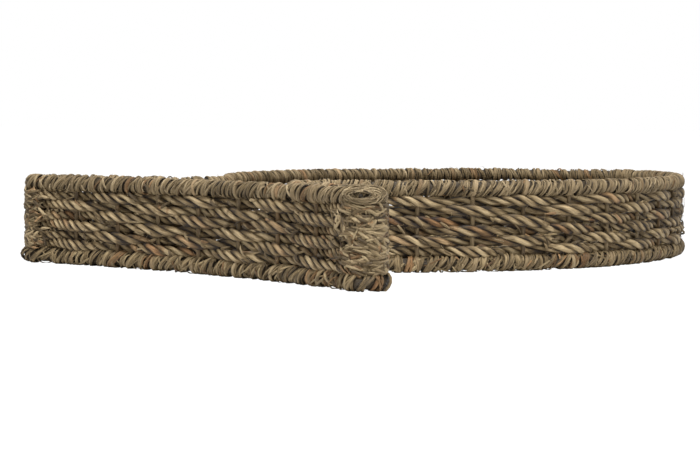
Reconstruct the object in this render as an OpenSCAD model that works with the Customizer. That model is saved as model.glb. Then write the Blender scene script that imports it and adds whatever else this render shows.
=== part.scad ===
// Low fish-shaped storage tray of seagrass rope, woven over a welded steel wire frame.
// X runs along the fish, with the nose at +X. Y runs across it, and Z is up.
// The origin is the middle of the footprint, at floor level.

/* [Outline] */
// Radius of the long body flanks, at the middle of the wall
flank_r = 310; // [290:1:372]
// Half the width of the body at its widest
body_half_w = 182; // [150:1:220]
// Radius of the rounded nose
nose_r = 44; // [36:1:53]
// Radius of the hollow between body and tail
waist_r = 40; // [33:1:48]
// Half the width of the waist
waist_half_w = 55; // [46:1:66]
// Angle of each tail lobe's front edge to the long axis
tail_angle = 75; // [68:1:80]
// Length of the straight front edge of each tail lobe
tail_edge = 107; // [89:1:129]
// Radius of the tip of each tail lobe
lobe_r = 11; // [10:0.5:14]
// How far the hollow rear edge falls in from the ends of the lobes
tail_hollow = 8; // [5:0.5:14]

/* [Height] */
// Height of the whole tray
basket_h = 76; // [63:1:92]
// Height of the wrapped top rim
top_rim_h = 13; // [12:0.5:16]
// Width of the wrapped top rim
top_rim_w = 11; // [9:0.5:14]
// Height of the wrapped foot rim
foot_rim_h = 13.4; // [12.4:0.2:16]
// Width of the wrapped foot rim
foot_rim_w = 13; // [10:0.5:16]

/* [Wire frame] */
// Diameter of the two ring wires
ring_d = 4; // [3:0.2:4.8]
// Diameter of the upright wires and base wires
wire_d = 2.6; // [2:0.1:3.2]
// Number of uprights around the wall
uprights = 44; // [36:2:52]

/* [Seagrass] */
// Height of one rope as it lies in the wall
rope_h = 8; // [6.6:0.1:9.6]
// Thickness of a wall rope, through the wall
rope_t = 5.5; // [4.5:0.1:6.6]
// Diameter of one rope of the base
base_rope_d = 7.4; // [6:0.1:8.9]
// Outside diameter of the strip bound round each upright
binding_d = 3.8; // [3.6:0.1:4.6]
// Diameter of the filler strand that runs beside each ring wire
filler_d = 4.6; // [3.8:0.1:4.8]
// Number of base ropes in one band
band_ropes = 4; // [3:1:6]

/* [Clearances] */
// Gap left between neighbouring ropes, and between a rope and an upright
rope_gap = 0.2; // [0.15:0.05:0.3]
// Gap left between neighbouring ropes of the base
base_gap = 0.6; // [0.4:0.1:1]
// Gap left round a wire that passes through or sits in seagrass
wire_gap = 0.2; // [0.15:0.05:0.3]

/* [Hidden] */
$fn = 32;
// Steps along the wall from one upright to the next.
steps_per_bay = 6;
// A rim has a section at every third step, and a rope at every second.
rim_stride = 3;
rope_stride = 2;
// Sides of a wrapped rim, and the angle that each takes up.
rim_sides = 8;
side_turn = 360 / rim_sides;
// Width of the seam along the inside of each wrapped rim.
seam = 0.5;
// Share of a base wire's direction that must point across the rim where it meets it.
steepest_wire = 0.6;
// How many times its clearance a drilled hole runs on past the end of its wire.
past_end = 3;

// Centres and angles of the tangent arcs of the upper half of the outline.
flank_c = [0, body_half_w - flank_r];
nose_c = [sqrt(pow(flank_r - nose_r, 2) - pow(flank_c[1], 2)), 0];
waist_y = waist_half_w + waist_r;
waist_c = [-sqrt(pow(flank_r + waist_r, 2) - pow(waist_y - flank_c[1], 2)), waist_y];
nose_end = atan2(-flank_c[1], nose_c[0]);
flank_end = atan2(waist_y - flank_c[1], waist_c[0]);
waist_end = 270 - tail_angle;
edge_dir = [-cos(tail_angle), sin(tail_angle)];
edge_out = [sin(tail_angle), cos(tail_angle)];
edge_start = waist_c + waist_r * [cos(waist_end), sin(waist_end)];
lobe_c = edge_start + tail_edge * edge_dir - lobe_r * edge_out;
tail_r = (pow(tail_hollow, 2) + pow(lobe_c[1], 2) - pow(lobe_r, 2)) / (2 * (tail_hollow + lobe_r));
tail_c = [lobe_c[0] + tail_hollow - tail_r, 0];
tail_turn = atan2(lobe_c[1], lobe_c[0] - tail_c[0]);
lobe_start = 90 - tail_angle;
lobe_end = 180 + tail_turn;

// Lengths of the arcs, and where each one ends along the half outline.
function arc_l(r, turn) = r * turn * PI / 180;
nose_s = arc_l(nose_r, nose_end);
flank_s = nose_s + arc_l(flank_r, flank_end - nose_end);
waist_s = flank_s + arc_l(waist_r, 180 + flank_end - waist_end);
edge_s = waist_s + tail_edge;
lobe_s = edge_s + arc_l(lobe_r, lobe_end - lobe_start);
half_l = lobe_s + arc_l(tail_r, tail_turn);
middle_x = (nose_c[0] + nose_r + lobe_c[0] - lobe_r) / 2;
basket_l = nose_c[0] + nose_r - lobe_c[0] + lobe_r;

// Point and outward direction, [x, y, nx, ny], at angle a of an arc. side is -1 where the arc is hollow.
function on_arc(c, r, a, side) =
    [c[0] + r * cos(a) - middle_x, c[1] + r * sin(a), side * cos(a), side * sin(a)];
function turned(l, r) = l / r * 180 / PI;
function on_edge(l) =
    let (p = edge_start + l * edge_dir) [p[0] - middle_x, p[1], edge_out[0], edge_out[1]];
function on_half(s) =
    s <= nose_s ? on_arc(nose_c, nose_r, turned(s, nose_r), 1)
    : s <= flank_s ? on_arc(flank_c, flank_r, nose_end + turned(s - nose_s, flank_r), 1)
    : s <= waist_s ? on_arc(waist_c, waist_r, flank_end + 180 - turned(s - flank_s, waist_r), -1)
    : s <= edge_s ? on_edge(s - waist_s)
    : s <= lobe_s ? on_arc(lobe_c, lobe_r, lobe_start + turned(s - edge_s, lobe_r), 1)
    : on_arc(tail_c, tail_r, tail_turn - turned(s - lobe_s, tail_r), -1);
function on_outline(s) =
    s <= half_l ? on_half(s) : let (p = on_half(2 * half_l - s)) [p[0], -p[1], p[2], -p[3]];

// The wall is divided into equal bays, with an upright at the start of each.
bay = 2 * half_l / uprights;
step = bay / steps_per_bay;
step_count = uprights * steps_per_bay;

// The steps of a loop are straight, so wires that end inside it stop this much short at nose and lobes.
nose_room = wire_d / 2 * tan(turned(rim_stride * step, nose_r) / 2);
lobe_room = lobe_r * (1 - cos(turned(step, lobe_r) / 2));

// Whether a place lies on a lobe or within a step of one.
function in_lobe(s) = let (h = min(s, 2 * half_l - s)) h > edge_s - step && h < lobe_s + step;

// Distances along the outline where a loop has a section: every stride steps, and each step round a lobe.
function stops(stride) =
    [for (k = [0:step_count - 1]) if (k % stride == 0 || in_lobe(k * step)) k * step];

// Cross sections, as [out, up] points.
function six_sided(w, h) =
    [[w / 2, h / 4], [0, h / 2], [-w / 2, h / 4], [-w / 2, -h / 4], [0, -h / 2], [w / 2, -h / 4]];
// A wrapped sleeve round a square hollow, open along a thin seam that faces into the tray.
function sleeve(w, bottom, top, hollow_w, hollow_h, hollow_z) = concat(
    [[-w / 2, hollow_z - seam / 2]],
    [for (k = [0:rim_sides - 1]) let (a = 180 + (k + 0.5) * side_turn)
        [w * cos(a), (top - bottom) * sin(a)] / cos(side_turn / 2) / 2 + [0, bottom + top] / 2],
    [[-w / 2, hollow_z + seam / 2], [-hollow_w / 2, hollow_z + seam / 2]],
    [for (q = [[-1, 1], [1, 1], [1, -1], [-1, -1]]) [q[0] * hollow_w / 2, hollow_z + q[1] * hollow_h / 2]],
    [[-hollow_w / 2, hollow_z - seam / 2]]
);

// Levels.
wall_h = basket_h - top_rim_h - foot_rim_h;
rows = floor(wall_h / (rope_h + rope_gap));
row_pitch = wall_h / rows;
swing = (rope_t + binding_d) / 2 + rope_gap;
bundle_h = ring_d + filler_d + wire_gap;
top_rim_z = basket_h - top_rim_h / 2;
foot_rim_z = foot_rim_h / 2;
top_ring_z = top_rim_z - (bundle_h - ring_d) / 2;
top_filler_z = top_rim_z + (bundle_h - filler_d) / 2;
foot_ring_z = foot_rim_z + (bundle_h - ring_d) / 2;
foot_filler_z = foot_rim_z - (bundle_h - filler_d) / 2;
hollow_w = max(ring_d, filler_d) + 2 * wire_gap;
hollow_h = bundle_h + 2 * wire_gap;
base_rope_z = foot_ring_z + (wire_d + base_rope_d) / 2 + rope_gap;
spine_z = foot_ring_z - wire_d - wire_gap;

// Base ropes run lengthwise inside the wall. Base wires cross from upright to upright.
base_inset = swing + rope_t / 2 + rope_gap;
base_pitch = base_rope_d + base_gap;
base_side_ropes = floor((body_half_w - base_inset - base_rope_d / 2) / base_pitch);
base_ropes = 2 * base_side_ropes + 1;
bands = ceil(base_ropes / band_ropes);
tail_x = tail_c[0] + tail_r - middle_x;
crossings = [for (k = [1:uprights / 2 - 1]) if (k * bay < edge_s) on_outline(k * bay)];
base_crossings = [for (p = crossings) if (p[3] > steepest_wire) p];

// A closed loop of one cross section carried round the outline at height z. weave swings it in and out.
module loop(section, z, stride, weave = 0) {
    at = stops(stride);
    n = len(section);
    points = [for (s = at, q = section)
        let (p = on_outline(s), out = q[0] + weave * cos(180 * s / bay))
        [p[0] + out * p[2], p[1] + out * p[3], z + q[1]]];
    faces = [for (i = [0:len(at) - 1], j = [0:n - 1], half = [0, 1])
        let (a = i * n, b = ((i + 1) % len(at)) * n, k = (j + 1) % n)
        half == 0 ? [a + j, b + j, b + k] : [a + j, b + k, a + k]];
    polyhedron(points, faces);
}

module at_uprights() {
    for (k = [0:uprights - 1]) {
        p = on_outline(k * bay);
        translate([p[0], p[1], 0]) children();
    }
}

module upright(d, z0, z1) {
    translate([0, 0, z0]) cylinder(d = d, h = z1 - z0);
}

module wire_between(p, q, d) {
    run = q - p;
    translate(p) rotate([0, 90, atan2(run[1], run[0])]) cylinder(d = d, h = norm(run));
}

// Base wires that end against the ring wire. room is the clearance round the wire and past its ends.
module cross_wires(room) {
    for (p = base_crossings) {
        reach = p[1] - (ring_d / 2 + wire_gap + nose_room + abs(p[2]) * wire_d / 2) / p[3]
            + past_end * room;
        wire_between([p[0], -reach, foot_ring_z], [p[0], reach, foot_ring_z], wire_d + 2 * room);
    }
}

// Wires from the tips of the lobes to the middle, or to the last cross wire if that comes first.
module lobe_wires(room) {
    reach = lobe_r - ring_d / 2 - wire_gap - lobe_room + past_end * room;
    tip = lobe_c - [middle_x, 0] + reach * edge_dir;
    to_middle = (tip[1] - wire_d / 2 - wire_gap) / sin(tail_angle);
    last_x = min([for (p = base_crossings) p[0]]);
    to_wire = (last_x - tip[0] - wire_d / 2 * (1 + sin(tail_angle)) - wire_gap) / cos(tail_angle);
    run = min(to_middle, to_wire);
    for (side = [-1, 1])
        wire_between([tip[0], side * tip[1], foot_ring_z],
            [tip[0] - run * edge_dir[0], side * (tip[1] - run * edge_dir[1]), foot_ring_z],
            wire_d + 2 * room);
}

module inside_wall(inset) {
    linear_extrude(basket_h)
        polygon([for (s = stops(rope_stride))
            let (p = on_outline(s)) [p[0] - inset * p[2], p[1] - inset * p[3]]]);
}

module top_ring_wire() {
    color("dimgray") loop(six_sided(ring_d, ring_d), top_ring_z, rim_stride);
}

module foot_ring_wire() {
    color("dimgray") loop(six_sided(ring_d, ring_d), foot_ring_z, rim_stride);
}

module upright_wires() {
    color("dimgray") at_uprights()
        upright(wire_d, foot_ring_z + ring_d / 2 + wire_gap, top_ring_z - ring_d / 2 - wire_gap);
}

module upright_bindings() {
    color("burlywood") at_uprights() difference() {
        upright(binding_d, foot_rim_h + rope_gap, basket_h - top_rim_h - rope_gap);
        upright(wire_d + 2 * wire_gap, 0, basket_h);
    }
}

module base_cross_wires() {
    color("dimgray") cross_wires(0);
}

module base_spine_wire() {
    end = foot_rim_w / 2 + wire_gap + nose_room;
    nose_x = nose_c[0] + nose_r - middle_x;
    color("dimgray") wire_between([tail_x + end, 0, spine_z], [nose_x - end, 0, spine_z], wire_d);
}

module tail_lobe_wires() {
    color("dimgray") lobe_wires(0);
}

module top_rim_filler() {
    color("tan") loop(six_sided(filler_d, filler_d), top_filler_z, rim_stride);
}

module foot_rim_filler() {
    color("tan") loop(six_sided(filler_d, filler_d), foot_filler_z, rim_stride);
}

module top_rim_wrap() {
    color("rosybrown") difference() {
        loop(sleeve(top_rim_w, basket_h - top_rim_h, basket_h, hollow_w, hollow_h, top_rim_z),
            0, rim_stride);
        at_uprights() upright(wire_d + 2 * wire_gap, top_rim_z - top_rim_h, top_rim_z);
    }
}

module foot_rim_wrap() {
    color("rosybrown") difference() {
        loop(sleeve(foot_rim_w, 0, foot_rim_h, hollow_w, hollow_h, foot_rim_z), 0, rim_stride);
        at_uprights() upright(wire_d + 2 * wire_gap, foot_rim_z, foot_rim_h + foot_rim_z);
        cross_wires(wire_gap);
        lobe_wires(wire_gap);
    }
}

module wall_rope(k) {
    color("peru") loop(six_sided(rope_t, rope_h), foot_rim_h + (k - 0.5) * row_pitch, rope_stride,
        k % 2 == 0 ? swing : -swing);
}

module base_band(k) {
    first = (k - 1) * band_ropes;
    last = min(k * band_ropes, base_ropes) - 1;
    color("tan") intersection() {
        inside_wall(base_inset);
        for (j = [first:last])
            translate([-basket_l, (j - base_side_ropes) * base_pitch, base_rope_z])
                rotate([0, 90, 0]) cylinder(d = base_rope_d, h = 2 * basket_l);
    }
}

top_ring_wire();
foot_ring_wire();
upright_wires();
upright_bindings();
base_cross_wires();
base_spine_wire();
tail_lobe_wires();
top_rim_filler();
foot_rim_filler();
top_rim_wrap();
foot_rim_wrap();
for (k = [1:rows])
    wall_rope(k);
for (k = [1:bands])
    base_band(k);
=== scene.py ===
import math

import bpy
import numpy as np
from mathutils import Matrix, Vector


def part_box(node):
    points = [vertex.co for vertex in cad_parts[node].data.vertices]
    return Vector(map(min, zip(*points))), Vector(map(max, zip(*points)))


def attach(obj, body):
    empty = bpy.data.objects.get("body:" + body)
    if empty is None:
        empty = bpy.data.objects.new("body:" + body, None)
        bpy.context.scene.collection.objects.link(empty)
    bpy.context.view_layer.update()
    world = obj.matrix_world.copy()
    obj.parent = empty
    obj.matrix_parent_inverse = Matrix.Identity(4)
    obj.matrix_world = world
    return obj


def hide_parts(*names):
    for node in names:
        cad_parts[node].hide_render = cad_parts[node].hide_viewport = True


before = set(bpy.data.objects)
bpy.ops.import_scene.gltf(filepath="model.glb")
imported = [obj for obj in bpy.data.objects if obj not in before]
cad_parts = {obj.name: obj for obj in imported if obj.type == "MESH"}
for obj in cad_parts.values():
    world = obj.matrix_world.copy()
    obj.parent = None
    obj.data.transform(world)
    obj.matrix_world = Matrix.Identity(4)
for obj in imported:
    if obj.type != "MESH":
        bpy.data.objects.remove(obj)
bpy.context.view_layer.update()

# ---------------------------------------------------------------------------------------------
# Wire frame. Dull steel wire, bent and spot welded: two rings, forty-four uprights, and the
# wires of the base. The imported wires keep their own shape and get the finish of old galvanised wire.
wire_pieces = ["top_ring_wire", "foot_ring_wire", "upright_wires",
               "base_cross_wires", "base_spine_wire", "tail_lobe_wires"]
wire_finish = bpy.data.materials.new("dull_galvanised_wire")
wire_finish.use_nodes = True
nodes, links = wire_finish.node_tree.nodes, wire_finish.node_tree.links
steel = nodes["Principled BSDF"]
steel.inputs["Metallic"].default_value = 0.75
place = nodes.new("ShaderNodeTexCoord")
grain = nodes.new("ShaderNodeTexNoise")
grain.inputs["Scale"].default_value = 240.0
grain.inputs["Detail"].default_value = 5.0
links.new(place.outputs["Object"], grain.inputs["Vector"])
tarnish = nodes.new("ShaderNodeValToRGB")
tarnish.color_ramp.elements[0].color = (0.035, 0.028, 0.022, 1)
tarnish.color_ramp.elements[1].color = (0.20, 0.185, 0.165, 1)
links.new(grain.outputs["Fac"], tarnish.inputs["Fac"])
links.new(tarnish.outputs["Color"], steel.inputs["Base Color"])
dullness = nodes.new("ShaderNodeMapRange")
dullness.inputs["To Min"].default_value = 0.35
dullness.inputs["To Max"].default_value = 0.7
links.new(grain.outputs["Fac"], dullness.inputs["Value"])
links.new(dullness.outputs["Result"], steel.inputs["Roughness"])
for name in wire_pieces:
    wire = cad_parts[name]
    wire.data.materials.clear()
    wire.data.materials.append(wire_finish)

# ---------------------------------------------------------------------------------------------
# Rim fillers. A loose bundle of seagrass lies beside each ring wire and is wrapped in with it, so
# the rim is round and full. It follows the plan of the tray: tangent arcs that draw a fish.
flank_r, body_half_w, nose_r = 0.310, 0.182, 0.044
waist_r, waist_half_w = 0.040, 0.055
tail_angle, tail_edge = math.radians(75), 0.107
lobe_r, tail_hollow = 0.011, 0.008
upright_count = 44


def arc(centre, radius, start, end, side):
    """Points along an arc, x and y, and the outward way there, which is towards the centre where side is -1."""
    a = np.linspace(start, end, 600)
    way = np.stack([np.cos(a), np.sin(a)], 1)
    return np.hstack([np.array(centre) + radius * way, side * way])


def fish_plan():
    """Distance round the wall's middle line, and x, y and outward x, y there: six tangent stretches, then their mirror."""
    flank_y = body_half_w - flank_r
    nose_x = math.sqrt((flank_r - nose_r) ** 2 - flank_y ** 2)
    waist_y = waist_half_w + waist_r
    waist_x = -math.sqrt((flank_r + waist_r) ** 2 - (waist_y - flank_y) ** 2)
    nose_end = math.atan2(-flank_y, nose_x)
    flank_end = math.atan2(waist_y - flank_y, waist_x)
    waist_end = 1.5 * math.pi - tail_angle
    start = np.array([waist_x, waist_y]) + waist_r * np.array([math.cos(waist_end), math.sin(waist_end)])
    along = np.array([-math.cos(tail_angle), math.sin(tail_angle)])
    out = np.array([math.sin(tail_angle), math.cos(tail_angle)])
    lobe = start + tail_edge * along - lobe_r * out
    tail_r = (tail_hollow ** 2 + lobe[1] ** 2 - lobe_r ** 2) / (2 * (tail_hollow + lobe_r))
    tail_x = lobe[0] + tail_hollow - tail_r
    turn = math.atan2(lobe[1], lobe[0] - tail_x)
    edge = np.hstack([start + np.linspace(0, tail_edge, 600)[:, None] * along, np.tile(out, (600, 1))])
    half = np.vstack([
        arc((nose_x, 0), nose_r, 0, nose_end, 1),
        arc((0, flank_y), flank_r, nose_end, flank_end, 1),
        arc((waist_x, waist_y), waist_r, flank_end + math.pi, waist_end, -1),
        edge,
        arc(lobe, lobe_r, math.pi / 2 - tail_angle, math.pi + turn, 1),
        arc((tail_x, 0), tail_r, turn, 0, -1)])
    half[:, 0] -= (nose_x + nose_r + lobe[0] - lobe_r) / 2
    both = np.vstack([half, (half * [1, -1, 1, -1])[::-1]])
    step = np.hypot(*np.diff(both[:, :2], axis=0).T)
    return np.concatenate([[0], np.cumsum(step)]), both


plan_s, plan = fish_plan()
wall_l = plan_s[-1]
bay = wall_l / upright_count
UP = np.array([0.0, 0.0, 1.0])
bend = np.r_[0, np.hypot(*np.diff(plan[:, 2:], axis=0).T) / np.maximum(np.diff(plan_s), 1e-9)]
even_s = np.linspace(0, wall_l, 4000)
near_tip = np.convolve(np.interp(even_s, plan_s, np.clip(bend * lobe_r, 0, 1)), np.ones(24) / 24, "same")


def at_tip(s):
    """1 at the tips of the tail lobes and 0 elsewhere, with a soft change between."""
    return np.interp(np.mod(s, wall_l), even_s, near_tip)


def wall_at(s):
    """The wall's middle line at distances s, and the outward way there, each as x, y, z."""
    row = [np.interp(np.mod(s, wall_l), plan_s, plan[:, k]) for k in range(4)]
    level = np.zeros_like(row[0])
    out = np.stack([row[2], row[3], level], -1)
    return np.stack([row[0], row[1], level], -1), out / np.linalg.norm(out, axis=-1, keepdims=True)


def wander(rng, at, span, knot):
    """A smooth random value from -1 to 1 at places from 0 to span that closes on itself: random knots, eased between."""
    count = max(3, int(round(span / knot)))
    values = rng.uniform(-1, 1, count)
    f = np.mod(at, span) / span * count
    i = np.floor(f).astype(int)
    t = f - i
    t = t * t * (3 - 2 * t)
    return values[i % count] * (1 - t) + values[(i + 1) % count] * t


def sweep(name, centre, side, up, section, tone, rust, closed):
    """Strands as tubes. centre, side and up are strands x rings x 3, and section gives each ring's corners as
    (side, up) offsets. A corner lies at centre + side offset * side + up offset * up. tone and rust, strands x rings
    x 1 or corners, go on as attributes."""
    strands, rings, corners = section.shape[:3]
    points = centre[:, :, None] + section[..., :1] * side[:, :, None] + section[..., 1:] * up[:, :, None]
    ahead = np.roll(centre, -1, 1) - centre
    run = np.concatenate([np.zeros((strands, 1)), np.cumsum(np.linalg.norm(ahead, axis=2), 1)], 1)
    spans = rings if closed else rings - 1
    s, i, k = np.meshgrid(np.arange(strands), np.arange(spans), np.arange(corners), indexing="ij")
    facing = (np.cross(side, up) * ahead)[:, :spans].sum() > 0
    a, b = ((i, k + 1), (i + 1, k)) if facing else ((i + 1, k), (i, k + 1))
    ring = np.stack([i, a[0], i + 1, b[0]], -1)
    corner = np.stack([k, a[1], k + 1, b[1]], -1)
    strand = np.stack([s] * 4, -1)
    loops = ((strand * rings + ring % rings) * corners + corner % corners).ravel()
    uv = np.stack([run[strand, ring], corner / corners], -1).reshape(-1, 2)
    starts = np.arange(0, len(loops), 4)
    if not closed:
        ends = np.arange(strands * corners).reshape(strands, corners) % corners
        first = np.arange(strands)[:, None] * rings * corners + ends
        last = first + (rings - 1) * corners
        first, last = (first[:, ::-1], last) if facing else (first, last[:, ::-1])
        caps = np.vstack([first, last])
        starts = np.concatenate([starts, len(loops) + np.arange(len(caps)) * corners])
        loops = np.concatenate([loops, caps.ravel()])
        uv = np.vstack([uv, np.zeros((caps.size, 2))])
    mesh = bpy.data.meshes.new(name)
    mesh.vertices.add(points.size // 3)
    mesh.vertices.foreach_set("co", points.astype(np.float32).ravel())
    mesh.loops.add(len(loops))
    mesh.loops.foreach_set("vertex_index", loops.astype(np.int32))
    mesh.polygons.add(len(starts))
    mesh.polygons.foreach_set("loop_start", starts.astype(np.int32))
    mesh.update(calc_edges=True)
    mesh.shade_smooth()
    mesh.uv_layers.new(name="along_strand").data.foreach_set("uv", uv.astype(np.float32).ravel())
    # tone holds the leaves' own tone and, from some callers, painted shade.
    for label, value in (("tone", tone), ("rust", rust)):
        spread = np.broadcast_to(value, (strands, rings, corners))
        mesh.attributes.new(label, "FLOAT", "POINT").data.foreach_set("value", spread.astype(np.float32).ravel())
    piece = bpy.data.objects.new(name, mesh)
    bpy.context.scene.collection.objects.link(piece)
    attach(piece, "root")
    return piece


def seagrass(name, dark, middle, light, rust, fibres):
    """Dry seagrass: tone picks from dark to light and rust turns it reddish. The tone attribute holds the leaves' own
    tone and, on the ropes, the wound rims and the rim end, painted shade as well. Noise stretched along the strand
    draws the fibres in colour, gloss and relief, and a wider noise makes patches."""
    grass = bpy.data.materials.new(name)
    grass.use_nodes = True
    nodes, links = grass.node_tree.nodes, grass.node_tree.links
    skin = nodes["Principled BSDF"]
    skin.inputs["Specular IOR Level"].default_value = 0.3
    uv = nodes.new("ShaderNodeUVMap")
    uv.uv_map = "along_strand"
    stretch = nodes.new("ShaderNodeMapping")
    stretch.inputs["Scale"].default_value = (110.0, fibres, 1.0)
    links.new(uv.outputs["UV"], stretch.inputs["Vector"])
    lines = nodes.new("ShaderNodeTexNoise")
    lines.inputs["Scale"].default_value = 1.0
    lines.inputs["Detail"].default_value = 3.0
    lines.inputs["Roughness"].default_value = 0.6
    links.new(stretch.outputs["Vector"], lines.inputs["Vector"])
    fibre = nodes.new("ShaderNodeMapRange")
    fibre.inputs["From Min"].default_value = 0.32
    fibre.inputs["From Max"].default_value = 0.68
    links.new(lines.outputs["Fac"], fibre.inputs["Value"])
    place = nodes.new("ShaderNodeTexCoord")
    patches = nodes.new("ShaderNodeTexNoise")
    patches.inputs["Scale"].default_value = 60.0
    patches.inputs["Detail"].default_value = 2.0
    links.new(place.outputs["Object"], patches.inputs["Vector"])
    tone = nodes.new("ShaderNodeAttribute")
    tone.attribute_name = "tone"
    streaked = nodes.new("ShaderNodeMath")
    streaked.operation = "MULTIPLY_ADD"
    streaked.inputs[1].default_value = 0.34
    links.new(fibre.outputs["Result"], streaked.inputs[0])
    links.new(tone.outputs["Fac"], streaked.inputs[2])
    patched = nodes.new("ShaderNodeMath")
    patched.operation = "MULTIPLY_ADD"
    patched.inputs[1].default_value = 0.5
    links.new(patches.outputs["Fac"], patched.inputs[0])
    links.new(streaked.outputs["Value"], patched.inputs[2])
    centred = nodes.new("ShaderNodeMath")
    centred.operation = "SUBTRACT"
    centred.inputs[1].default_value = 0.42
    links.new(patched.outputs["Value"], centred.inputs[0])
    colours = nodes.new("ShaderNodeValToRGB")
    colours.color_ramp.elements[0].color = (*dark, 1)
    colours.color_ramp.elements[0].position = 0.02
    colours.color_ramp.elements[1].color = (*light, 1)
    colours.color_ramp.elements[1].position = 0.98
    colours.color_ramp.elements.new(0.5).color = (*middle, 1)
    links.new(centred.outputs["Value"], colours.inputs["Fac"])
    redness = nodes.new("ShaderNodeAttribute")
    redness.attribute_name = "rust"
    stained = nodes.new("ShaderNodeMix")
    stained.data_type = "RGBA"
    stained.blend_type = "MULTIPLY"
    stained.inputs[7].default_value = (*rust, 1)
    links.new(redness.outputs["Fac"], stained.inputs[0])
    links.new(colours.outputs["Color"], stained.inputs[6])
    links.new(stained.outputs[2], skin.inputs["Base Color"])
    wear = nodes.new("ShaderNodeMapRange")
    wear.inputs["To Min"].default_value = 0.42
    wear.inputs["To Max"].default_value = 0.75
    links.new(fibre.outputs["Result"], wear.inputs["Value"])
    links.new(wear.outputs["Result"], skin.inputs["Roughness"])
    relief = nodes.new("ShaderNodeBump")
    relief.inputs["Strength"].default_value = 1.0
    relief.inputs["Distance"].default_value = 0.0006
    links.new(fibre.outputs["Result"], relief.inputs["Height"])
    links.new(relief.outputs["Normal"], skin.inputs["Normal"])
    return grass


# The filler grass is coloured far darker than the wound leaves: painted shade where it shows between the turns.
filler_grass_in_painted_shade = seagrass("filler_grass_dark_as_painted_shade", (0.008, 0.005, 0.002), (0.05, 0.034, 0.016),
                        (0.15, 0.11, 0.06), (0.88, 0.66, 0.52), 30.0)
filler_half_w, filler_half_h = 0.0044, 0.0050
top_tip, foot_tip = 0.0015, 0.0040
filler_s = np.linspace(0, wall_l, 900, endpoint=False)[None]


def filler(name, rim, seed, tip):
    """A ribbed sleeve of loose leaves that fills the wrapped rim: an ellipse whose radius ripples round and along it.
    At the lobe tips it stands out by tip."""
    rng = np.random.default_rng(seed)
    low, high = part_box(rim)
    middle, out = wall_at(filler_s)
    middle = middle + tip * at_tip(filler_s)[..., None] * out
    around = np.arange(14) / 14 * 2 * math.pi
    ripple = 1 + 0.07 * np.sin(around * 5 + 260 * filler_s[..., None]) + 0.05 * wander(rng, filler_s, wall_l, 0.02)[..., None]
    section = np.stack([filler_half_w * ripple * np.cos(around), filler_half_h * ripple * np.sin(around)], -1)
    level = (low.z + high.z) / 2 * UP
    up = np.broadcast_to(UP, middle.shape)
    piece = sweep(name, middle + level, out, up, section, 0.35, 0.0, True)
    piece.data.materials.append(filler_grass_in_painted_shade)
    return piece


top_filler = filler("top_rim_bundle", "top_rim_wrap", 11, top_tip)
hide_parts("top_rim_filler")
foot_filler = filler("foot_rim_bundle", "foot_rim_wrap", 12, foot_tip)
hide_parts("foot_rim_filler")

# ---------------------------------------------------------------------------------------------
# Upright bindings. A pale, smooth strip of leaf is bound down every upright and shows in the gaps
# where a rope passes behind. It is rolled round the wire with its fibres running up and down.
pale_strip = seagrass("pale_binding_strip", (0.05, 0.032, 0.015), (0.22, 0.158, 0.082),
                      (0.44, 0.34, 0.20), (0.88, 0.70, 0.56), 9.0)
strip_r = 0.0017
rng = np.random.default_rng(21)
upright_s = np.arange(upright_count) * bay
foot_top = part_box("foot_rim_wrap")[1].z
rim_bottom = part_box("top_rim_wrap")[0].z
climb = np.linspace(0, 1, 14)
feet, outs = wall_at(upright_s)
bow = rng.uniform(-0.0006, 0.0006, (upright_count, 1)) * np.sin(climb * math.pi)
heights = foot_top - 0.002 + climb * (rim_bottom - foot_top + 0.004)
sides = np.cross(outs, UP)
strip_centre = feet[:, None] + bow[..., None] * sides[:, None] + heights[None, :, None] * UP
around = np.arange(10) / 10 * 2 * math.pi
fold = 1 + 0.10 * np.cos(3 * around + rng.uniform(0, 6, (upright_count, 1, 1)) + 4 * climb[None, :, None])
strip_section = strip_r * fold[..., None] * np.stack([np.cos(around) * 1.1, np.sin(around) * 0.92], -1)
# The strips' tone is set lower than the rim ties' tone in the same grass: painted shade in the gaps behind the ropes.
bindings = sweep("upright_strips", strip_centre, np.repeat(sides[:, None], 14, 1), np.repeat(outs[:, None], 14, 1),
                 strip_section, rng.uniform(0.1, 0.55, (upright_count, 1, 1)), rng.uniform(0, 0.8, (upright_count, 1, 1)) ** 2, False)
bindings.data.materials.append(pale_strip)
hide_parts("upright_bindings")

# ---------------------------------------------------------------------------------------------
# Wall ropes. Six rows of twisted seagrass rope, each woven in front of one upright and behind the
# next, and against the row below it. Every ply is a twist of a few leaves, so it is ribbed.
wall_grass = seagrass("twisted_wall_grass", (0.012, 0.006, 0.002), (0.158, 0.108, 0.050),
                      (0.45, 0.342, 0.192), (0.88, 0.64, 0.50), 11.0)
rope_swing = 0.0038
plies = 3
lay_l = 0.041
ply_out, ply_up = 0.0017, 0.0023
ply_half_t, ply_half_h = 0.0019, 0.0023
rope_s = np.linspace(0, wall_l, 1050, endpoint=False)


def leaf_tones(rng, at, span, leaf_l):
    """Tone and rust that keep to one value along each leaf. Leaves end at random places, one leaf_l apart on average."""
    cuts = np.sort(rng.uniform(0, span, max(2, int(span / leaf_l))))
    leaf = np.searchsorted(cuts, np.mod(at, span)) % len(cuts)
    rusty = (rng.uniform(0, 1, len(cuts)) > 0.91) * rng.uniform(0.3, 1.0, len(cuts))
    return rng.uniform(0.34, 0.74, len(cuts))[leaf], rusty[leaf]


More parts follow.
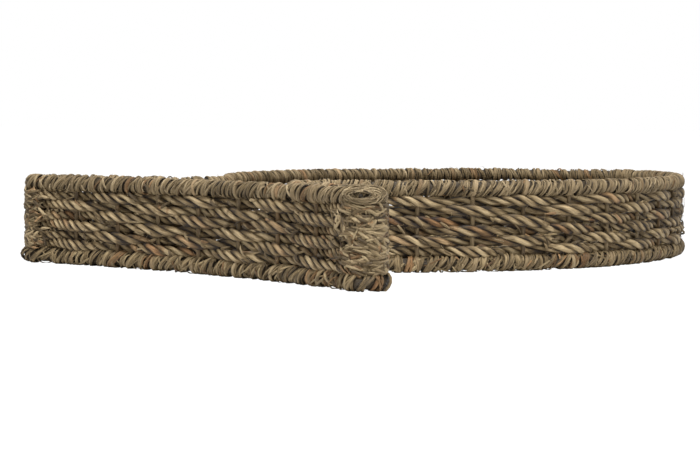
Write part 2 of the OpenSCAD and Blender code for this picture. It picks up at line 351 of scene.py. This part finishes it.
def ribbed_ply(rng, angle, s, span, half_t, half_h, corners):
    """One ply's corners and the painted shade of each. The ply is an ellipse under slow and quick random swelling, with
    three shallow creases that turn slowly against the lay. The painted shade darkens it in the creases, towards the
    seams with the other plies, and where it is highest and lowest, which is against the next rope."""
    around = np.arange(corners) / corners * 2 * math.pi
    phase = 0.35 * angle[..., None] + 1.2 * wander(rng, s, span, 0.02)[..., None]
    crease_and_painted_shade = np.abs(np.sin(1.5 * around + phase)) ** 0.6 - 0.75
    swell = 1 + 0.12 * wander(rng, s, span, 0.011) + 0.10 * wander(rng, s, span, 0.045)
    size = (1 + 0.13 * crease_and_painted_shade + 0.04 * np.sin(3 * around - 2.1 * phase)) * swell[..., None]
    seam = 0.5 - 0.5 * np.cos(around - angle[..., None])
    edge = np.abs(0.5 * np.sin(angle)[..., None] + 0.5 * np.sin(around)) ** 4
    # Painted shade: darker in the creases, at the seams with the other plies and against the next rope.
    shade = 0.21 + 0.28 * crease_and_painted_shade - 1.15 * seam ** 1.5 - 0.75 * edge
    return size[..., None] * np.stack([half_t * np.cos(around), half_h * np.sin(around)], -1), shade


def wall_rope(k):
    """Rope of row k. Its middle swings by cos(pi s / bay) across the uprights and dips as it passes forward. The plies
    circle it, evenly spread, falling towards +s on the outside, and are twisted tighter towards the tail lobes. Where
    the rope is pressed against an upright it is flat and tall."""
    rng = np.random.default_rng(30 + k)
    low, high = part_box(f"wall_rope_{k}")
    beat = math.pi * rope_s / bay + (0 if k % 2 == 0 else math.pi)
    middle, out = wall_at(rope_s)
    reach = rope_swing * np.cos(beat) * (1 + 0.1 * wander(rng, rope_s, wall_l, 0.04)) + 0.0004 * wander(rng, rope_s, wall_l, 0.06)
    level = (low.z + high.z) / 2 - 0.0008 * np.sin(beat) + 0.0008 * wander(rng, rope_s, wall_l, 0.045)
    heart = middle + reach[:, None] * out + level[:, None] * UP
    lobe_near = np.exp(-((np.abs(middle[:, 1]) - 0.19) / 0.06) ** 2) * (middle[:, 0] < -0.15)
    rate = 1 + 1.1 * lobe_near + 0.35 * wander(rng, rope_s, wall_l, 0.05)
    twist = -2 * math.pi * round(rate.mean() * wall_l / lay_l) * np.cumsum(rate) / rate.sum()
    centres, sections, tones, rusts = [], [], [], []
    pressed = np.cos(beat) ** 2
    for ply in range(plies):
        angle = twist + ply * 2 * math.pi / plies
        loose = 1 + 0.15 * wander(rng, rope_s, wall_l, 0.03)
        ply_x = ply_out * loose * (1 - 0.3 * pressed) * np.cos(angle)
        ply_z = ply_up * loose * (1 + 0.26 * pressed) * np.sin(angle)
        centres.append(heart + ply_x[:, None] * out + ply_z[:, None] * UP)
        section, crease_and_painted_shade = ribbed_ply(rng, angle, rope_s, wall_l, ply_half_t, ply_half_h, 11)
        section = section * np.stack([1 - 0.08 * pressed, 1 + 0.10 * pressed], -1)[:, None]
        tone, rust = leaf_tones(rng, rope_s, wall_l, 0.05)
        sections.append(section)
        # The leaf tone gets the ply's painted shade added to it.
        tones.append(tone[:, None] + crease_and_painted_shade)
        rusts.append(rust[:, None])
    out = np.stack([out] * plies)
    piece = sweep(f"wall_row_{k}", np.stack(centres), out, np.broadcast_to(UP, out.shape), np.stack(sections),
                  np.stack(tones), np.stack(rusts), True)
    piece.data.materials.append(wall_grass)
    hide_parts(f"wall_rope_{k}")


row_count = sum(name.startswith("wall_rope_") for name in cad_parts)
for k in range(1, row_count + 1):
    wall_rope(k)

# ---------------------------------------------------------------------------------------------
# Base ropes. The same two-ply rope is woven lengthwise over and under the cross wires, run beside
# run. Each run ends inside the wall. Runs outside the waist are broken by it into body and tail.
base_grass = seagrass("twisted_base_grass", (0.016, 0.009, 0.003), (0.17, 0.116, 0.050),
                      (0.48, 0.36, 0.185), (0.88, 0.64, 0.50), 11.0)
base_pitch = 0.0080
base_inset = 0.0074
base_lift = 0.0042
wire_level = sum(v.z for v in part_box("base_cross_wires")) / 2
wire_s = np.arange(1, upright_count // 2) * bay
wire_middles, wire_outs = wall_at(wire_s)
edge_s = plan_s[np.argmax(plan[:, :2] @ [-math.cos(tail_angle), math.sin(tail_angle)]) - 600]
wire_x = np.sort(wire_middles[(wire_outs[:, 1] > 0.6) & (wire_s < edge_s), 0])
inner = plan[:, :2] - base_inset * plan[:, 2:]


def runs_at(y):
    """Where a line at this y lies inside the wall: sorted crossings of the inset plan, in pairs."""
    a, b = inner, np.roll(inner, -1, 0)
    hit = (a[:, 1] > y) != (b[:, 1] > y)
    x = a[hit, 0] + (y - a[hit, 1]) / (b[hit, 1] - a[hit, 1]) * (b[hit, 0] - a[hit, 0])
    return np.sort(x).reshape(-1, 2)


def base_run(rng, y, x0, x1, row, rings):
    """One run's heart line and plies. It swings over and under the wires, which are counted along x, as cos(pi count)."""
    x = np.linspace(x0, x1, rings)
    count = np.interp(x, wire_x, np.arange(len(wire_x)))
    woven = np.clip((x - wire_x[0] + 0.02) / 0.02, 0, 1) * (x0 < wire_x[-1]) * (row != 0)
    lift = base_lift * (woven * np.cos(math.pi * (count + row)) + 1 - woven)
    sway = 0.0006 * wander(rng, x - x0, x1 - x0 + 0.01, 0.03)
    heart = np.stack([x, y + sway, wire_level + lift], -1)
    twist = 2 * math.pi * x / lay_l + rng.uniform(0, 6) + 0.8 * wander(rng, x - x0, x1 - x0 + 0.01, 0.05)
    rows = []
    for ply in range(plies):
        angle = twist + ply * 2 * math.pi / plies
        centre = heart + 0.00185 * np.cos(angle)[:, None] * [0, 1, 0] + 0.00125 * np.sin(angle)[:, None] * UP
        taper = np.minimum(1, np.minimum(x - x0, x1 - x) / 0.002 + 0.35)
        section, crease_and_painted_shade = ribbed_ply(rng, angle, x - x0, x1 - x0 + 0.01, 0.0021, 0.0018, 8)
        tone, rust = leaf_tones(rng, x - x0, x1 - x0 + 0.01, min(0.05, (x1 - x0) / 3))
        # The leaf tone gets the ply's painted shade added to it.
        rows.append((centre, section * taper[:, None, None], tone[:, None] + crease_and_painted_shade, rust[:, None]))
    return rows


def base_band(name, rows, seed):
    """All runs of one band in one piece. Runs of different length share a ring count by their own spacing."""
    rng = np.random.default_rng(seed)
    strands = []
    for row in rows:
        for x0, x1 in runs_at(row * base_pitch):
            if x1 - x0 > 0.006:
                strands += base_run(rng, row * base_pitch, x0, x1, row, 150)
    centre, section, tone, rust = (np.stack(part) for part in zip(*strands))
    across = np.broadcast_to(np.array([0.0, 1.0, 0.0]), centre.shape)
    piece = sweep(f"{name}_runs", centre, across, np.broadcast_to(UP, centre.shape), section, tone, rust, False)
    piece.data.materials.append(base_grass)
    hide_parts(name)


band_names = sorted((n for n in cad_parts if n.startswith("base_band_")), key=lambda n: int(n.split("_")[-1]))
for seed, name in enumerate(band_names):
    low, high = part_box(name)
    first, last = math.ceil(low.y / base_pitch), math.floor(high.y / base_pitch)
    base_band(name, [r for r in range(first, last + 1)], 60 + seed)

# ---------------------------------------------------------------------------------------------
# Wrapped rims. Long leaves are wound round each ring wire and its filler, two side by side, each
# turn leaning the way it was pulled. The top rim is tight and even, the foot rim loose and lumpy.
top_wrap_grass = seagrass("wound_top_grass", (0.014, 0.008, 0.003), (0.165, 0.116, 0.056),
                          (0.47, 0.36, 0.21), (0.88, 0.66, 0.52), 7.0)
foot_wrap_grass = seagrass("wound_foot_grass", (0.012, 0.007, 0.002), (0.148, 0.102, 0.047),
                           (0.43, 0.325, 0.175), (0.88, 0.64, 0.50), 7.0)
turn_steps = 14
leaf_profile = np.array([[-0.5, -0.15], [-0.33, 0.75], [0.05, 1.0], [0.36, 0.7], [0.5, -0.15], [0.0, -0.5]])


def bunches(rng, turns, least, most):
    """For each turn: which bunch of neighbouring turns it is in, and how far from the bunch's middle, from -1 to 1."""
    sizes = rng.integers(least, most + 1, turns)
    bunch = np.repeat(np.arange(turns), sizes)[:turns]
    first = np.searchsorted(bunch, bunch)
    size = np.bincount(bunch, minlength=bunch[-1] + 1)[bunch]
    return bunch, (np.arange(turns) - first + 0.5) / size * 2 - 1


def by_turn(values, q):
    """One value for each turn, held over the outer face and eased into the next on the inner one."""
    turn = np.floor(q).astype(int)
    t = np.clip((q - turn - 0.3) / 0.4, 0, 1)
    t = t * t * (3 - 2 * t)
    return values[turn % len(values)] * (1 - t) + values[(turn + 1) % len(values)] * t


def wound_rim(name, seed, pitch, lean, half_w, half_h, leaf_w, leaf_t, least, most, rough, sag, tip):
    """A leaf wound round an elliptical rim. Turn number q gives the angle 2 pi q and a place that advances by pitch a
    turn, more slowly round the tight lobes, plus lean * sin(angle). Turns bunch together, and each bunch has its own
    lean, tone and bulge, highest at its middle. Turns at a bunch's ends are darkened as painted shade, and each leaf's
    edges and underside are darkened and its crown lightened as painted shade and light. At the lobe tips the rim
    stands out by tip."""
    rng = np.random.default_rng(seed)
    low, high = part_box(name)
    density = (1 + 0.004 * np.clip(bend, 0, 100)) / pitch
    count = np.concatenate([[0], np.cumsum(0.5 * (density[1:] + density[:-1]) * np.diff(plan_s))])
    turns = int(round(count[-1]))
    bunch, off = bunches(rng, turns, least, most)
    per_bunch = rng.uniform(-1, 1, (4, turns))[:, bunch]
    per_turn = rng.uniform(-1, 1, (5, turns))
    q = np.arange(turns * turn_steps) / turn_steps
    angle = 2 * math.pi * q
    place = q * count[-1] / turns
    s = np.interp(place, count, plan_s) - pitch * by_turn(0.42 * rough * off - 0.12 * per_turn[0], q)
    tilt = lean * (1 + rough * by_turn(0.7 * per_bunch[0] + 0.35 * per_turn[1], q))
    s = s + tilt * np.sin(angle) + 0.15 * tilt * np.sin(2 * angle)
    middle, out = wall_at(s)
    bulge = 1 + rough * by_turn(0.10 * (1 - off ** 2) + 0.06 * per_bunch[1] + 0.035 * per_turn[2], q) - 0.05 * rough
    middle = middle + tip * at_tip(s)[:, None] * out
    radial = np.cos(angle)[:, None] * out / half_w + np.sin(angle)[:, None] * UP / half_h
    radial /= np.linalg.norm(radial, axis=1, keepdims=True)
    lift = (low.z + high.z) / 2 + sag * (0.5 + 0.5 * wander(rng, s, wall_l, 0.035)) + 0.0005 * wander(rng, s, wall_l, 0.02)
    centre = middle + (half_w * bulge * np.cos(angle))[:, None] * out + (lift + half_h * bulge * np.sin(angle))[:, None] * UP
    across = np.cross(np.roll(centre, -1, 0) - np.roll(centre, 1, 0), radial)
    across /= np.linalg.norm(across, axis=1, keepdims=True)
    width = leaf_w * (1 + 0.3 * rough * by_turn(per_turn[3], q) + 0.1 * wander(rng, q, turns, 0.5))
    thick = leaf_t * (1 + 0.3 * wander(rng, q, turns, 0.4))
    section = np.stack([leaf_profile[:, 0] * width[:, None], leaf_profile[:, 1] * thick[:, None]], -1)
    # Turns at a bunch's ends are darker: painted shade in the dips between bunches.
    tone = by_turn(0.47 + 0.09 * per_bunch[2] + 0.16 * per_turn[4] - 0.16 * np.abs(off) ** 3, q) + 0.05 * wander(rng, q, turns, 0.7)
    rust = by_turn(np.where(per_bunch[3] > 0.86, 0.4 + 0.6 * np.abs(per_turn[0]), 0.0), q)
    # Painted shade and light across each leaf: edges and underside darkened, crown lightened.
    painted_edge_shade_and_crown_light = np.array([-0.6, -0.02, 0.14, -0.02, -0.6, -0.6])
    return sweep(f"{name}_leaves", centre[None], across[None], radial[None], section[None],
                 tone[None, :, None] + painted_edge_shade_and_crown_light, rust[None, :, None], True)


top_wrap = wound_rim("top_rim_wrap", 81, 0.0021, 0.0028, 0.0047, 0.0055, 0.0022, 0.0012, 2, 4, 1.3, 0.0, top_tip)
top_wrap.data.materials.append(top_wrap_grass)
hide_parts("top_rim_wrap")
foot_wrap = wound_rim("foot_rim_wrap", 82, 0.0022, 0.0026, 0.0054, 0.0054, 0.0024, 0.0014, 3, 5, 1.9, 0.0009, foot_tip)
foot_wrap.data.materials.append(foot_wrap_grass)
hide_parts("foot_rim_wrap")


def over_leaves(name, rim, seed, number, half_w, half_h, slant, grass):
    """Short leaf ends laid over the turns. Each starts at a random angle, mostly on the outside, goes part of the way
    round while it slides along by up to slant, and dives in at both ends."""
    rng = np.random.default_rng(seed)
    low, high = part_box(rim)
    t = np.linspace(0, 1, 12)
    start = rng.normal(0, 1.1, (number, 1)) - 0.9
    angle = start + t * rng.uniform(1.2, 2.6, (number, 1))
    s = rng.uniform(0, wall_l, (number, 1)) + rng.normal(0.3, 0.7, (number, 1)) * slant * (t - 0.5)
    middle, out = wall_at(s)
    proud = 1.16 - 0.30 * np.abs(2 * t - 1) ** 3 + rng.uniform(-0.02, 0.04, (number, 1))
    centre = (middle + (half_w * proud * np.cos(angle))[..., None] * out
              + ((low.z + high.z) / 2 + half_h * proud * np.sin(angle))[..., None] * UP)
    radial = np.cos(angle)[..., None] * out / half_w + np.sin(angle)[..., None] * UP / half_h
    radial /= np.linalg.norm(radial, axis=-1, keepdims=True)
    across = np.cross(np.gradient(centre, axis=1), radial)
    across /= np.linalg.norm(across, axis=-1, keepdims=True)
    width = rng.uniform(0.0009, 0.0022, (number, 1)) * (0.45 + 0.55 * np.sin(math.pi * t) ** 0.5)
    thick = rng.uniform(0.0004, 0.0008, (number, 1)) * np.ones(12)
    section = np.stack([leaf_profile[:, 0] * width[..., None], leaf_profile[:, 1] * thick[..., None]], -1)
    tone = rng.uniform(0.3, 0.85, (number, 1, 1))
    rust = np.where(rng.uniform(0, 1, (number, 1, 1)) > 0.88, 0.8, 0.0)
    piece = sweep(name, centre, across, radial, section, tone, rust, False)
    piece.data.materials.append(grass)


over_leaves("top_rim_loose_ends", "top_rim_wrap", 91, 420, 0.0050, 0.0058, 0.010, top_wrap_grass)
over_leaves("foot_rim_loose_ends", "foot_rim_wrap", 92, 760, 0.0060, 0.0058, 0.016, foot_wrap_grass)

# ---------------------------------------------------------------------------------------------
# Rim ties. Beside every upright one smooth strip goes round the top rim and one round the foot rim.
# They are the ends of the upright's own binding, and are pulled tight.
def rim_ties(name, rim, seed, half_w, half_h):
    """Closed loops, one at each upright: an ellipse a little larger than the wrapped rim, with a small random lean."""
    rng = np.random.default_rng(seed)
    low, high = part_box(rim)
    angle = np.arange(22) / 22 * 2 * math.pi
    s = upright_s[:, None] + rng.uniform(-0.0015, 0.0015, (upright_count, 1)) + rng.normal(0.001, 0.0008, (upright_count, 1)) * np.sin(angle)
    middle, out = wall_at(s)
    pull = rng.uniform(1.0, 1.1, (upright_count, 1))
    centre = (middle + (half_w * pull * np.cos(angle))[..., None] * out
              + ((low.z + high.z) / 2 + half_h * pull * np.sin(angle))[..., None] * UP)
    radial = np.cos(angle)[:, None] * out / half_w + np.sin(angle)[:, None] * UP / half_h
    radial /= np.linalg.norm(radial, axis=-1, keepdims=True)
    across = np.cross(np.roll(centre, -1, 1) - np.roll(centre, 1, 1), radial)
    across /= np.linalg.norm(across, axis=-1, keepdims=True)
    width = rng.uniform(0.0030, 0.0044, (upright_count, 1)) * np.ones(22)
    section = np.stack([leaf_profile[:, 0] * width[..., None], leaf_profile[:, 1] * 0.0009 * np.ones_like(width)[..., None]], -1)
    piece = sweep(name, centre, across, radial, section, rng.uniform(0.35, 0.75, (upright_count, 1, 1)),
                  rng.uniform(0, 0.7, (upright_count, 1, 1)) ** 2, True)
    piece.data.materials.append(pale_strip)


rim_ties("top_rim_ties", "top_rim_wrap", 95, 0.0055, 0.0063)
rim_ties("foot_rim_ties", "foot_rim_wrap", 96, 0.0064, 0.0062)

# ---------------------------------------------------------------------------------------------
# Rim end. Where the top rim turns the near tail lobe its core ends, and the wrap coils round the cut
# end in a small swirl. Its hollow is painted shade: the inner coils are darkened and the core is dark. Many fine ends
# stand out of it.
tip_way = np.array([-0.745, -0.667])
near = plan[:, 1] < 0
tip_s = plan_s[near][np.argmax(plan[near, 2:] @ tip_way - 10 * np.abs(plan[near, 1] + 0.19))]
rim_rise = 0.0008
coil_z = sum(v.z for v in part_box("top_rim_wrap")) / 2 + rim_rise


def on_rim_face(along, rise, proud):
    """A point on the rim's outer face near the tip, along it and up it from the coil's middle, and the outward way."""
    middle, out = wall_at(tip_s + along)
    face = 0.0067 * np.sqrt(np.clip(1 - (rise + rim_rise) ** 2 / 0.0075 ** 2, 0.25, 1))
    return middle + (face + proud)[..., None] * out + (coil_z + rise)[..., None] * UP, out


rng = np.random.default_rng(97)
coils = 70
t = np.linspace(0, 1, 18)
angle = rng.uniform(0, 2 * math.pi, (coils, 1)) + rng.uniform(1.6, 4.6, (coils, 1)) * t
size = (0.42 + 0.68 * rng.uniform(0, 1, (coils, 1)) ** 0.8) * (1 + rng.uniform(-0.12, 0.3, (coils, 1)) * t)
along = 0.0098 * size * np.cos(angle) + rng.normal(0, 0.0013, (coils, 1)) + 0.0012 * size ** 2
rise = 0.0062 * size * np.sin(angle + rng.normal(0, 0.25, (coils, 1))) + rng.normal(0, 0.0008, (coils, 1))
proud = 0.0026 * np.exp(-((size - 0.6) / 0.35) ** 2) + 0.0006 * rng.uniform(-1, 1, (coils, 1)) - 0.0035 * np.abs(2 * t - 1) ** 6
centre, radial = on_rim_face(along, rise, proud)
across = np.cross(np.gradient(centre, axis=1), radial)
across /= np.linalg.norm(across, axis=-1, keepdims=True)
width = rng.uniform(0.0006, 0.0016, (coils, 1)) * (0.5 + 0.5 * np.sin(math.pi * t) ** 0.5)
section = np.stack([leaf_profile[:, 0] * width[..., None], leaf_profile[:, 1] * 0.5 * width[..., None]], -1)
# Coils near the swirl's middle are darkened: painted shade in its hollow.
coil_tone_and_hollow_shade = rng.uniform(0.4, 1.0, (coils, 1)) - 0.6 * np.exp(-((size - 0.38) / 0.16) ** 2)
coil = sweep("rim_end_coil", centre, across, radial, section, coil_tone_and_hollow_shade[..., None], 0.0, False)
coil.data.materials.append(top_wrap_grass)

# The cut core is filler grass at a low tone: painted shade at the bottom of the swirl's hollow.
stub_centre, stub_out = on_rim_face(np.zeros((1, 5)), np.full((1, 5), -0.0004), np.linspace(-0.002, 0.0012, 5)[None])
stub_angle = np.arange(12) / 12 * 2 * math.pi
stub_side = np.cross(stub_out, UP)
stub_section = np.array([1.0, 1.0, 1.0, 0.96, 0.8])[None, :, None, None] * 0.0019 * np.stack([np.cos(stub_angle), np.sin(stub_angle)], -1)
stub = sweep("rim_end_core", stub_centre, stub_side, np.broadcast_to(UP, stub_side.shape), stub_section, 0.15, 0.0, False)
stub.data.materials.append(filler_grass_in_painted_shade)

# ---------------------------------------------------------------------------------------------
# Loose leaves. Leaf ends lie flat on the ropes. At the tips of the tail lobes, where every rope has to
# turn sharply, they make a thick, matted cover over the wall.
def loose_leaves(name, seed, s0, longest, depth, spread, tones, grass):
    """Short flat leaves on the outer face. Each lies about one of the places s0, at a random height, and runs downhill
    in a shallow curve, at an angle that varies by spread, with its ends pushed in between the ropes."""
    rng = np.random.default_rng(seed)
    number = len(s0)
    t = np.linspace(0, 1, 9)
    length = longest * rng.uniform(0.4, 1.0, (number, 1))
    slope = rng.normal(-0.35, spread, (number, 1))
    run = length * (t - 0.5)
    z = rng.uniform(wall_low, wall_high, (number, 1)) + np.sin(slope) * run + 0.18 * length * rng.normal(0, 1, (number, 1)) * (t - 0.5) ** 2
    middle, out = wall_at(s0[:, None] + np.cos(slope) * run)
    proud = depth + rng.uniform(-0.0008, 0.0012, (number, 1)) - 0.0030 * np.abs(2 * t - 1) ** 4
    centre = middle + proud[..., None] * out + z[..., None] * UP
    across = np.cross(np.gradient(centre, axis=1), out)
    across /= np.linalg.norm(across, axis=-1, keepdims=True)
    width = rng.uniform(0.0012, 0.0030, (number, 1)) * (0.35 + 0.65 * np.sin(math.pi * t) ** 0.6)
    section = np.stack([leaf_profile[:, 0] * width[..., None], leaf_profile[:, 1] * 0.4 * width[..., None]], -1)
    piece = sweep(name, centre, across, out, section, rng.uniform(*tones, (number, 1, 1)),
                  np.where(rng.uniform(0, 1, (number, 1, 1)) > 0.9, 0.7, 0.0), False)
    piece.data.materials.append(grass)


wall_low, wall_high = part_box("foot_rim_wrap")[1].z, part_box("top_rim_wrap")[0].z
rng = np.random.default_rng(98)
lobe_s = plan_s[bend > 0.5 / lobe_r]
lobe_places = rng.choice(lobe_s, 1100) + rng.normal(0, 0.007, 1100)
loose_leaves("tail_tip_matting", 99, lobe_places, 0.015, 0.0070, 0.7, (0.2, 1.05), wall_grass)
loose_leaves("wall_loose_leaves", 100, rng.uniform(0, wall_l, 260), 0.013, 0.0056, 0.45, (0.2, 0.85), wall_grass)

# ---------------------------------------------------------------------------------------------
# Stray fibres. Fine ends of leaf stand out of the ropes and the rims all round, most of them at the
# tail lobes and the nose, where the grass is bent sharply.
def stray_fibres(name, seed, number, heights, depth, longest, grass):
    """Thin curved hairs. Each starts inside the wall at a random height, leans out and along, and curls back. Three
    in ten sit where the plan bends most."""
    rng = np.random.default_rng(seed)
    weight = 1 + 0.02 * np.clip(bend, 0, 95)
    spread = np.concatenate([[0], np.cumsum(0.5 * (weight[1:] + weight[:-1]) * np.diff(plan_s))])
    s0 = np.interp(rng.uniform(0, spread[-1], number), spread, plan_s)[:, None]
    t = np.linspace(0, 1, 7)
    length = longest * rng.uniform(0.3, 1.0, (number, 1))
    s = s0 + length * rng.normal(0.2, 0.6, (number, 1)) * t
    middle, out = wall_at(s)
    face = np.where(rng.uniform(0, 1, (number, 1)) > 0.25, 1, -1)
    stand = depth * rng.uniform(0.5, 1.0, (number, 1)) + length * rng.uniform(0.02, 0.30, (number, 1)) * np.sin(2.4 * t)
    z = rng.uniform(*heights, (number, 1)) + length * (rng.normal(0, 0.5, (number, 1)) * t + rng.normal(0, 0.35, (number, 1)) * t * t)
    centre = middle + (face * stand)[..., None] * out + np.clip(z, 0.0008, 0.0785)[..., None] * UP
    around = np.arange(3) / 3 * 2 * math.pi
    thin = rng.uniform(0.00014, 0.00034, (number, 1)) * (1 - 0.75 * t)
    ahead = np.gradient(centre, axis=1)
    side = np.cross(ahead, out + 0.3 * UP)
    side /= np.maximum(np.linalg.norm(side, axis=-1, keepdims=True), 1e-9)
    up = np.cross(side, ahead)
    up /= np.maximum(np.linalg.norm(up, axis=-1, keepdims=True), 1e-9)
    section = thin[..., None, None] * np.stack([np.cos(around), np.sin(around)], -1)
    piece = sweep(name, centre, side, up, section, rng.uniform(0.3, 1.0, (number, 1, 1)), 0.0, False)
    piece.data.materials.append(grass)


stray_fibres("wall_stray_fibres", 101, 2200, (wall_low, wall_high), 0.0050, 0.009, wall_grass)
stray_fibres("top_rim_stray_fibres", 102, 1000, (wall_high, 0.0755), 0.0042, 0.007, top_wrap_grass)
stray_fibres("foot_rim_stray_fibres", 103, 1200, (0.001, wall_low), 0.0050, 0.007, foot_wrap_grass)

# ---------------------------------------------------------------------------------------------
# Studio. A pale floor, an even white surround, a large soft light overhead and a weak one in front.
# The camera stands low off the near tail lobe and looks along the tray.
floor_mesh = bpy.data.meshes.new("floor")
floor_mesh.from_pydata([(-40, -40, 0), (40, -40, 0), (40, 40, 0), (-40, 40, 0)], [], [(0, 1, 2, 3)])
floor = bpy.data.objects.new("floor", floor_mesh)
bpy.context.scene.collection.objects.link(floor)
floor_paint = bpy.data.materials.new("pale_floor")
floor_paint.use_nodes = True
nodes, links = floor_paint.node_tree.nodes, floor_paint.node_tree.links
nodes.remove(nodes["Principled BSDF"])
matt = nodes.new("ShaderNodeBsdfDiffuse")
matt.inputs["Color"].default_value = (0.8, 0.8, 0.8, 1)
glow = nodes.new("ShaderNodeEmission")
glow.inputs["Color"].default_value = (1, 1, 1, 1)
glow.inputs["Strength"].default_value = 1.13
seen = nodes.new("ShaderNodeLightPath")
share = nodes.new("ShaderNodeMath")
share.operation = "MULTIPLY"
share.inputs[1].default_value = 0.9
links.new(seen.outputs["Is Camera Ray"], share.inputs[0])
mixed = nodes.new("ShaderNodeMixShader")
links.new(share.outputs["Value"], mixed.inputs["Fac"])
links.new(matt.outputs["BSDF"], mixed.inputs[1])
links.new(glow.outputs["Emission"], mixed.inputs[2])
links.new(mixed.outputs["Shader"], nodes["Material Output"].inputs["Surface"])
floor_mesh.materials.append(floor_paint)

surround = bpy.data.worlds.new("white_surround")
bpy.context.scene.world = surround
surround.use_nodes = True
nodes, links = surround.node_tree.nodes, surround.node_tree.links
sky = nodes["Background"]
sky.inputs["Color"].default_value = (1, 1, 1, 1)
seen = nodes.new("ShaderNodeLightPath")
direct = nodes.new("ShaderNodeMath")
direct.operation = "MAXIMUM"
links.new(seen.outputs["Is Camera Ray"], direct.inputs[0])
links.new(seen.outputs["Is Glossy Ray"], direct.inputs[1])
shown = nodes.new("ShaderNodeMath")
shown.operation = "MAXIMUM"
links.new(direct.outputs["Value"], shown.inputs[0])
links.new(seen.outputs["Is Transmission Ray"], shown.inputs[1])
level = nodes.new("ShaderNodeMapRange")
level.inputs["To Min"].default_value = 0.09
level.inputs["To Max"].default_value = 1.0
links.new(shown.outputs["Value"], level.inputs["Value"])
links.new(level.outputs["Result"], sky.inputs["Strength"])


def soft_light(name, place, aim, size, power):
    """A square area light at place, facing aim."""
    lamp = bpy.data.lights.new(name, "AREA")
    lamp.shape = "SQUARE"
    lamp.size = size
    lamp.energy = power
    holder = bpy.data.objects.new(name, lamp)
    bpy.context.scene.collection.objects.link(holder)
    way = np.array(aim) - np.array(place)
    holder.location = place
    holder.rotation_euler = (math.atan2(math.hypot(way[0], way[1]), -way[2]), 0, math.atan2(way[1], way[0]) - math.pi / 2)
    return holder


soft_light("overhead", (-0.45, -0.40, 1.5), (0, 0, 0), 0.8, 46)
soft_light("front_fill", (-1.9, -1.5, 0.9), (-0.2, -0.1, 0.03), 0.7, 16)

camera_data = bpy.data.cameras.new("camera")
camera_data.sensor_width = 36.0
camera_data.lens = 1790.3 * 36.0 / 700
camera_data.clip_start, camera_data.clip_end = 0.01, 200
camera = bpy.data.objects.new("camera", camera_data)
bpy.context.scene.collection.objects.link(camera)
heading = math.radians(47.74)
pitch_down = math.radians(3.455)
camera.location = (-1.2848, -1.0608, 0.12085)
camera.rotation_euler = (math.pi / 2 - pitch_down, math.radians(-0.42), -(math.pi / 2 - (math.pi / 2 - heading)))
bpy.context.scene.camera = camera
bpy.context.scene.view_settings.view_transform = "Standard"
